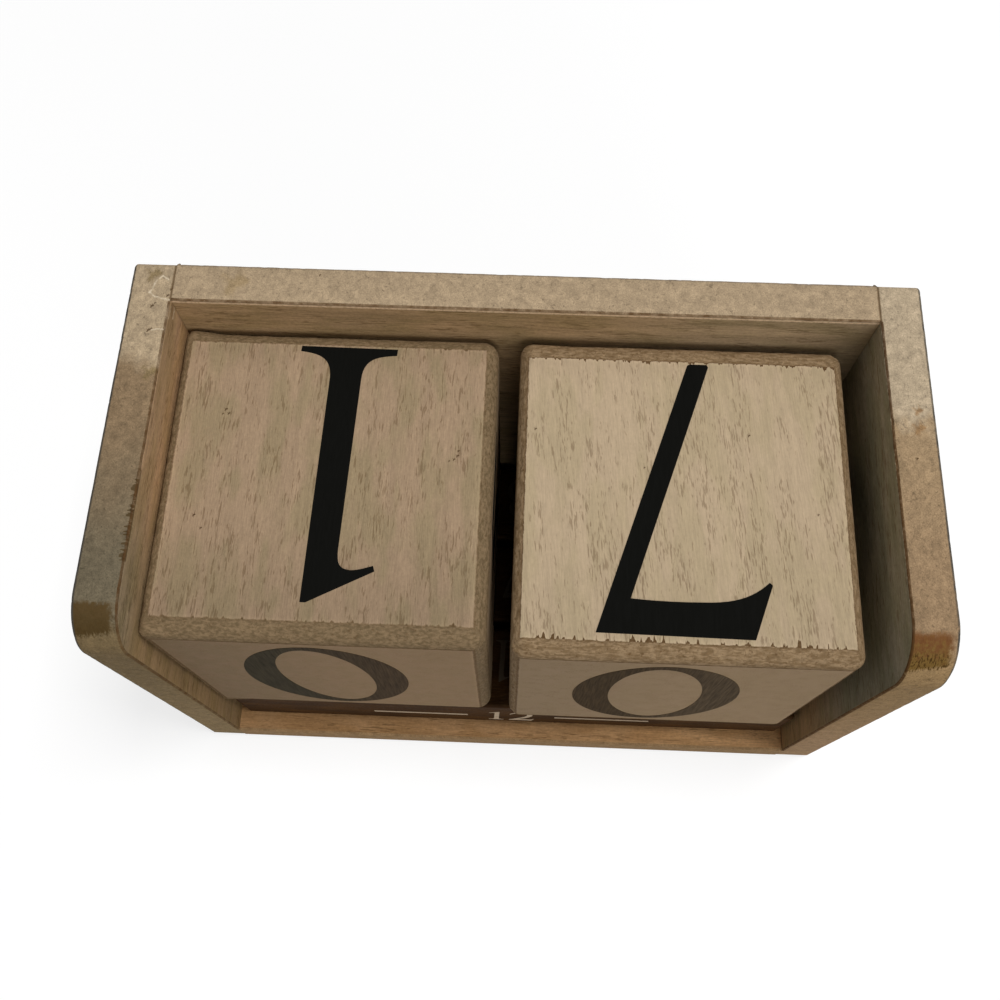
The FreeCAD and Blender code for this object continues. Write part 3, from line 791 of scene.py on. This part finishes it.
def block_surface(half, radii, spacing):
    """The spots of a block whose every edge is rounded, each with its way out, and its
    four-sided faces."""
    lines = [stations(half[axis], max(radii), spacing) for axis in range(3)]
    last = [len(line) - 1 for line in lines]
    index = {}
    spots = []

    def spot(i, j, k):
        if (i, j, k) not in index:
            index[i, j, k] = len(spots)
            flat = Vector((lines[0][i], lines[1][j], lines[2][k]))
            spots.append(round_off(flat, half, radii))
        return index[i, j, k]

    faces = []
    for axis in range(3):
        first, second = [a for a in range(3) if a != axis]
        for end in (0, last[axis]):
            for a in range(last[first]):
                for b in range(last[second]):
                    ring = []
                    for da, db in ((0, 0), (1, 0), (1, 1), (0, 1)):
                        key = [0, 0, 0]
                        key[axis] = end
                        key[first] = a + da
                        key[second] = b + db
                        ring.append(spot(*key))
                    outward = (end > 0) == (axis != 1)
                    faces.append(ring if outward else ring[::-1])
    return spots, faces


def worn_block(node, material, radii, spacing, wear, seed):
    """A block in a CAD node's box, its rounded edges dented a little and never raised. It rides
    on the body with the node's name."""
    low, high = corners(node)
    centre = (low + high) / 2
    half = (high - low) / 2
    spots, faces = block_surface(half, radii, spacing)
    shift = Vector((seed * 40.0, 0.0, 0.0))
    worn = []
    for point, out in spots:
        turn = min(1.0, (1 - max(abs(co) for co in out)) / (1 - math.sqrt(0.5)))
        lost = worn_away(point + shift, wear, BLOCK_DENTS, BLOCK_CHIPS)
        worn.append(centre + point - out * turn * lost)
    return make_piece("worn_" + node, worn, faces, node, node, material)


def outline(low, high, radii):
    """Points round a rectangle in two axes and the way in from each. The pairs of radii are for
    its low low, high low, high high and low high corners."""
    centres = [
        (low[0] + radii[0][0], low[1] + radii[0][1], 180),
        (high[0] - radii[1][0], low[1] + radii[1][1], 270),
        (high[0] - radii[2][0], high[1] - radii[2][1], 0),
        (low[0] + radii[3][0], high[1] - radii[3][1], 90),
    ]

    def turned(i, degrees):
        way = (math.cos(math.radians(degrees)), math.sin(math.radians(degrees)))
        spot = Vector([centres[i][a] + way[a] * radii[i][a] for a in (0, 1)])
        return spot, -Vector([way[a] / radii[i][a] for a in (0, 1)]).normalized()

    ring = []
    for i, (_, _, start) in enumerate(centres):
        turns = max(4, round(max(radii[i]) * math.pi / 2 / OUTLINE_STEP))
        ring += [turned(i, start + 90 * j / turns) for j in range(turns + 1)]
        here = ring[-1]
        after = (i + 1) % 4
        there = turned(after, centres[after][2])[0]
        count = max(1, round((there - here[0]).length / OUTLINE_STEP))
        for j in range(1, count):
            ring.append((here[0].lerp(there, j / count), here[1]))
    return ring


class Skin:
    """A board's mesh as it grows: points, each with how dark its arris is, below 0 for painted
    shade on an outer arris, and whether it is on the board's edge, and faces, each smooth or
    flat."""

    def __init__(self, low, thick_axis):
        self.low = low
        self.thick = thick_axis
        self.flat = [axis for axis in range(3) if axis != thick_axis]
        self.points, self.edge, self.rim = [], [], []
        self.faces, self.smooth = [], []

    def put(self, flat, depth, edge, rim=0.0):
        """Adds a point at a flat spot and a depth from the low face, and returns its number."""
        point = Vector((0.0, 0.0, 0.0))
        point[self.flat[0]], point[self.flat[1]] = flat[0], flat[1]
        point[self.thick] = self.low[self.thick] + depth
        self.points.append(point)
        self.edge.append(edge)
        self.rim.append(rim)
        return len(self.points) - 1

    def face(self, ring, turned, smooth):
        self.faces.append(ring[::-1] if turned else ring)
        self.smooth.append(smooth)

    def band(self, first, second, turned, smooth):
        """Four-sided faces between two rings of points."""
        for i in range(len(first)):
            j = (i + 1) % len(first)
            self.face((first[i], first[j], second[j], second[i]), turned, smooth)

    def cap(self, loops, end):
        """Flat triangles inside the first loop and outside the others."""
        flat = [[self.points[i] for i in loop] for loop in loops]
        numbers = [i for loop in loops for i in loop]
        for triangle in tessellate_polygon(flat):
            ring = [numbers[i] for i in triangle]
            a, b, c = [self.points[i] for i in ring]
            up = (b - a).cross(c - a)[self.thick] * (-1.0 if end == 0 else 1.0)
            self.face(ring, up <= 0, False)


def section_steps():
    """The steps through a board's thickness: its low arris, its flat edge and its high arris."""
    turns = [math.radians(90 * i / ARRIS_STEPS) for i in range(ARRIS_STEPS + 1)]
    flat = [(None, i / FLAT_STEPS) for i in range(1, FLAT_STEPS)]
    return [(0, turn) for turn in turns] + flat + [(1, turn) for turn in reversed(turns)]


def plate(node, thick_axis, radii, arris_radii, pits, material, dark, state, seed):
    """A board in a CAD node's box: an outline with four corner radii, carried through the
    board's thickness, its two arrises rounded and worn. Pits are over brad heads, each in the
    low or high face. dark says how dark each arris is, below 0 for painted shade on an outer
    arris, and state how open and how worn it is at a spot."""
    low, high = corners(node)
    thickness = high[thick_axis] - low[thick_axis]
    skin = Skin(low, thick_axis)

    def section(spot, inward, end, turn):
        """Inset, depth and darkness at one turn of an arris, or part way between them."""
        opens = [state(side, spot, inward) for side in (0, 1)]
        radius = [arris_radii[side] * opens[side][0] for side in (0, 1)]
        if end is None:
            return 0.0, radius[0] + (thickness - radius[0] - radius[1]) * turn, 0.0
        at = (spot.x + seed * 60, spot.y, 50.0 * end)
        wear = opens[end][1] * math.sin(2 * turn) * math.sqrt(0.5)
        lost = worn_away(at, wear, BOARD_DENTS, BOARD_CHIPS)
        inset = radius[end] * (1 - math.sin(turn)) + lost
        depth = radius[end] * (1 - math.cos(turn)) + lost
        shade = dark[end] * opens[end][0] * min(1.0, 1.7 * math.sin(2 * turn))
        shade *= 0.5 + clouds(at, 1.1, 2)
        return inset, depth if end == 0 else thickness - depth, max(-1.0, min(shade, 1.0))

    ring = outline([low[a] for a in skin.flat], [high[a] for a in skin.flat], radii)
    steps = section_steps()
    rows = []
    for place, (end, turn) in enumerate(steps):
        on_edge = 1.0 if 0 < place < len(steps) - 1 else 0.0
        row = []
        for spot, inward in ring:
            inset, depth, shade = section(spot, inward, end, turn)
            row.append(skin.put(spot + inward * inset, depth, shade, on_edge))
        rows.append(row)
    # Which way is outward follows from the order of the outline's two axes
    turned = thick_axis == 1
    for first, second in zip(rows, rows[1:]):
        skin.band(first, second, turned, True)
    for end, row in ((0, rows[0]), (1, rows[-1])):
        lips = [make_pit(skin, pit, thickness, (end == 0) != turned)
                for pit in pits if pit[2] == end]
        skin.cap([row] + lips, end)
    return make_piece("worn_" + node, skin.points, skin.faces, "tray", node,
                      material, skin.smooth, {"edge": skin.edge, "rim": skin.rim})


def side_state(inner_end, torn=None):
    """How open and worn a side board's arrises are. The inner one is closed where the back and
    base boards meet it, and torn along a stretch."""
    inner_back = corners("back_board")[0].y
    base_top = corners("base_board")[1].z

    def state(end, spot, inward):
        if end != inner_end:
            return 1.0, OUTER_WEAR
        if spot.x > inner_back or spot.y < base_top:
            return CLOSED_ARRIS, 0.0
        if torn and torn[0] < spot.x < torn[1]:
            return 1.0, TORN_WEAR
        return 1.0, INNER_WEAR

    return state


def butt_state(inner_end):
    """How open and worn the arrises of a board between the side boards are: the inner one is
    closed at its ends."""

    def state(end, spot, inward):
        if end == inner_end and abs(inward.x) > 0.5:
            return CLOSED_ARRIS, 0.0
        return 1.0, INNER_WEAR if end == inner_end else OUTER_WEAR

    return state


def make_pit(skin, pit, thickness, turned):
    """The ragged pit over one brad head: its lip, walls and floor. Returns the lip's points."""
    x, y, end, width, height = pit
    rings = []
    for out, down, darkness in PIT_RINGS:
        ragged = PIT_RAGGED * out / PIT_RINGS[0][0]
        loop = []
        for i in range(PIT_POINTS):
            angle = 2 * math.pi * i / PIT_POINTS
            way = Vector((math.cos(angle), math.sin(angle)))
            reach = 1 / max(abs(way.x) / width, abs(way.y) / height) / 2
            reach = reach + out + ragged * math.sin(3 * angle + x + 2 * y)
            depth = down if end == 0 else thickness - down
            loop.append(skin.put(Vector((x, y)) + way * reach, depth, darkness))
        rings.append(loop)
    for first, second in zip(rings, rings[1:]):
        skin.band(first, second, turned, False)
    skin.face(tuple(rings[-1]), turned, False)
    return rings[0]


def brad_spots(node, thick_axis, end):
    """Where the heads of a group of brads lie, read from the CAD node's separate solids."""
    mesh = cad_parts[node].data
    parent = list(range(len(mesh.vertices)))

    def root(i):
        while parent[i] != i:
            parent[i] = parent[parent[i]]
            i = parent[i]
        return i

    places = {}
    for vertex in mesh.vertices:
        key = tuple(round(co / MM, 3) for co in vertex.co)
        parent[vertex.index] = places.setdefault(key, vertex.index)
    for one in mesh.edges:
        parent[root(one.vertices[0])] = root(one.vertices[1])
    groups = {}
    for vertex in mesh.vertices:
        groups.setdefault(root(vertex.index), []).append(vertex.co / MM)
    axes = [axis for axis in range(3) if axis != thick_axis]
    pits = []
    for group in groups.values():
        (x0, x1), (y0, y1) = [(min(p[a] for p in group), max(p[a] for p in group))
                              for a in axes]
        pits.append(((x0 + x1) / 2, (y0 + y1) / 2, end, x1 - x0, y1 - y0))
    return pits


def make_tray():
    """The four boards, worn at their edges, and the brads in their pits."""
    side_radii = [(FOOT_RADIUS,) * 2] + [(BOARD_CORNER_RADIUS,) * 2] * 2
    left_radii = side_radii + [(TOP_FRONT_RADIUS,) * 2]
    right_radii = side_radii + [RIGHT_TOP_FRONT]
    butt_radii = [(BUTT_RADIUS,) * 2] * 4
    along_y = (0.0, 0.0, 0.0)
    along_x = (0.0, 0.0, 90.0)
    left_wood = tray_material("left_board_wood", 1, along_y, LEFT)
    right_wood = tray_material("right_board_wood", 2, along_y, RIGHT)
    back_wood = tray_material("back_board_wood", 3, along_x, BACK)
    base_wood = tray_material("base_board_wood", 4, along_x, BASE)
    # Each board's negative arris darkness is painted shade on its outer arris
    plate("left_side_board", 0, left_radii, (SIDE_ARRIS_RADIUS, INNER_ARRIS_RADIUS),
          brad_spots("left_side_brads", 0, 0), left_wood, (-0.9, 0.75),
          side_state(1, TORN_STRETCH), 1)
    plate("right_side_board", 0, right_radii, (INNER_ARRIS_RADIUS, SIDE_ARRIS_RADIUS),
          brad_spots("right_side_brads", 0, 1), right_wood, (1.0, -0.8), side_state(0), 2)
    plate("back_board", 1, butt_radii, (INNER_ARRIS_RADIUS, SIDE_ARRIS_RADIUS),
          brad_spots("back_brads", 1, 1), back_wood, (0.8, -0.3), butt_state(0), 3)
    plate("base_board", 2, butt_radii, (BASE_ARRIS_RADIUS, BASE_ARRIS_RADIUS), [], base_wood,
          (-0.3, 0.2), butt_state(1), 4)
    steel = steel_material()
    for node in ("left_side_brads", "right_side_brads", "back_brads"):
        finish_node(node, steel)


def finish_node(node, material):
    """A CAD node that is shown as it is gets its material."""
    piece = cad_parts[node]
    piece.data.materials.clear()
    piece.data.materials.append(material)


def make_blocks():
    """The two cubes and the three month bars, with their print."""
    tens = cube_material("tens_cube", 1, TENS)
    units = cube_material("units_cube", 2, UNITS)
    worn_block("tens_cube", tens, TENS_RADII, CUBE_STEP, TENS_WEAR, 1)
    worn_block("units_cube", units, UNITS_RADII, CUBE_STEP, UNITS_WEAR, 2)
    ink = ink_material()
    finish_node("tens_cube_numerals", ink)
    finish_node("units_cube_numerals", ink)
    bar_wood = bar_material()
    cream = cream_material()
    for seed, which in enumerate(("front", "middle", "back")):
        node = "month_bar_" + which
        worn_block(node, bar_wood, BAR_RADII, BAR_STEP, BAR_WEAR, 3 + seed)
        finish_node(node + "_numerals", cream)


def seen_ray(graph):
    """1 where the camera, a gloss or a glass looks at a surface, 0 where it lights others."""
    ray = graph.add("LightPath", {}, output="Is Camera Ray")
    others = [ray.node.outputs[kind] for kind in ("Is Glossy Ray", "Is Transmission Ray")]
    return graph.math("MAXIMUM", ray, graph.math("MAXIMUM", *others))


def make_stage():
    """A pale floor that keeps the shadow."""
    graph = Graph("pale_floor")
    diffuse = graph.add("BsdfDiffuse", {"Color": (*(FLOOR_SHADE,) * 3, 1.0)})
    lift = graph.add("Emission", {"Strength": graph.times(seen_ray(graph), FLOOR_LIFT)})
    graph.add_output(graph.add("AddShader", {0: diffuse, 1: lift}))
    mesh = bpy.data.meshes.new("floor")
    angles = [math.radians(360 / FLOOR_SIDES * i) for i in range(FLOOR_SIDES)]
    ring = [(FLOOR_REACH * math.cos(a), FLOOR_REACH * math.sin(a), -FLOOR_DROP) for a in angles]
    mesh.from_pydata(ring, [], [list(range(FLOOR_SIDES))])
    mesh.materials.append(graph.owner)
    floor = bpy.data.objects.new("floor", mesh)
    bpy.context.scene.collection.objects.link(floor)


def make_world():
    """An even fill on the object, and white where it is looked at."""
    graph = Graph("studio", "World")
    bpy.context.scene.world = graph.owner
    fill, shown = [graph.add("Background", {"Color": (1.0, 1.0, 1.0, 1.0), "Strength": strength})
                   for strength in (FILL_STRENGTH, 1.0)]
    graph.add_output(graph.add("MixShader", {0: seen_ray(graph), 1: fill, 2: shown}))


def make_lamp(name, direction, distance, size, share):
    """A square soft lamp aimed at the object. A share of 1 shows a colour that faces the lamp
    just as it is written."""
    lamp = bpy.data.lights.new(name, "AREA")
    lamp.size = size
    lamp.energy = share * (math.pi * distance) ** 2
    way = Vector(direction).normalized()
    aim = Vector((0.0, 0.0, corners("tens_cube")[1].z * MM))
    holder = bpy.data.objects.new(name, lamp)
    holder.location = aim + way * distance
    holder.rotation_mode = "QUATERNION"
    holder.rotation_quaternion = (-way).to_track_quat("-Z", "Y")
    bpy.context.scene.collection.objects.link(holder)


def make_camera():
    """The photograph's camera."""
    data = bpy.data.cameras.new("camera")
    data.sensor_width = SENSOR_WIDTH
    data.lens = CAMERA_FOCUS_PIXELS * SENSOR_WIDTH / PICTURE_PIXELS
    data.clip_start, data.clip_end = CAMERA_CLIP
    camera = bpy.data.objects.new("camera", data)
    camera.matrix_world = (
        Matrix.Translation(Vector(CAMERA_PLACE) * MM)
        @ Matrix.Rotation(math.radians(CAMERA_TURN_DEGREES), 4, "Z")
        @ Matrix.Rotation(math.radians(CAMERA_TILT_DEGREES), 4, "X")
        @ Matrix.Rotation(math.radians(CAMERA_ROLL_DEGREES), 4, "Z")
    )
    bpy.context.scene.collection.objects.link(camera)
    bpy.context.scene.camera = camera


make_camera()
make_world()
make_stage()
for lamp_values in LAMPS:
    make_lamp(*lamp_values)
make_tray()
make_blocks()
bpy.context.scene.view_settings.view_transform = "Standard"
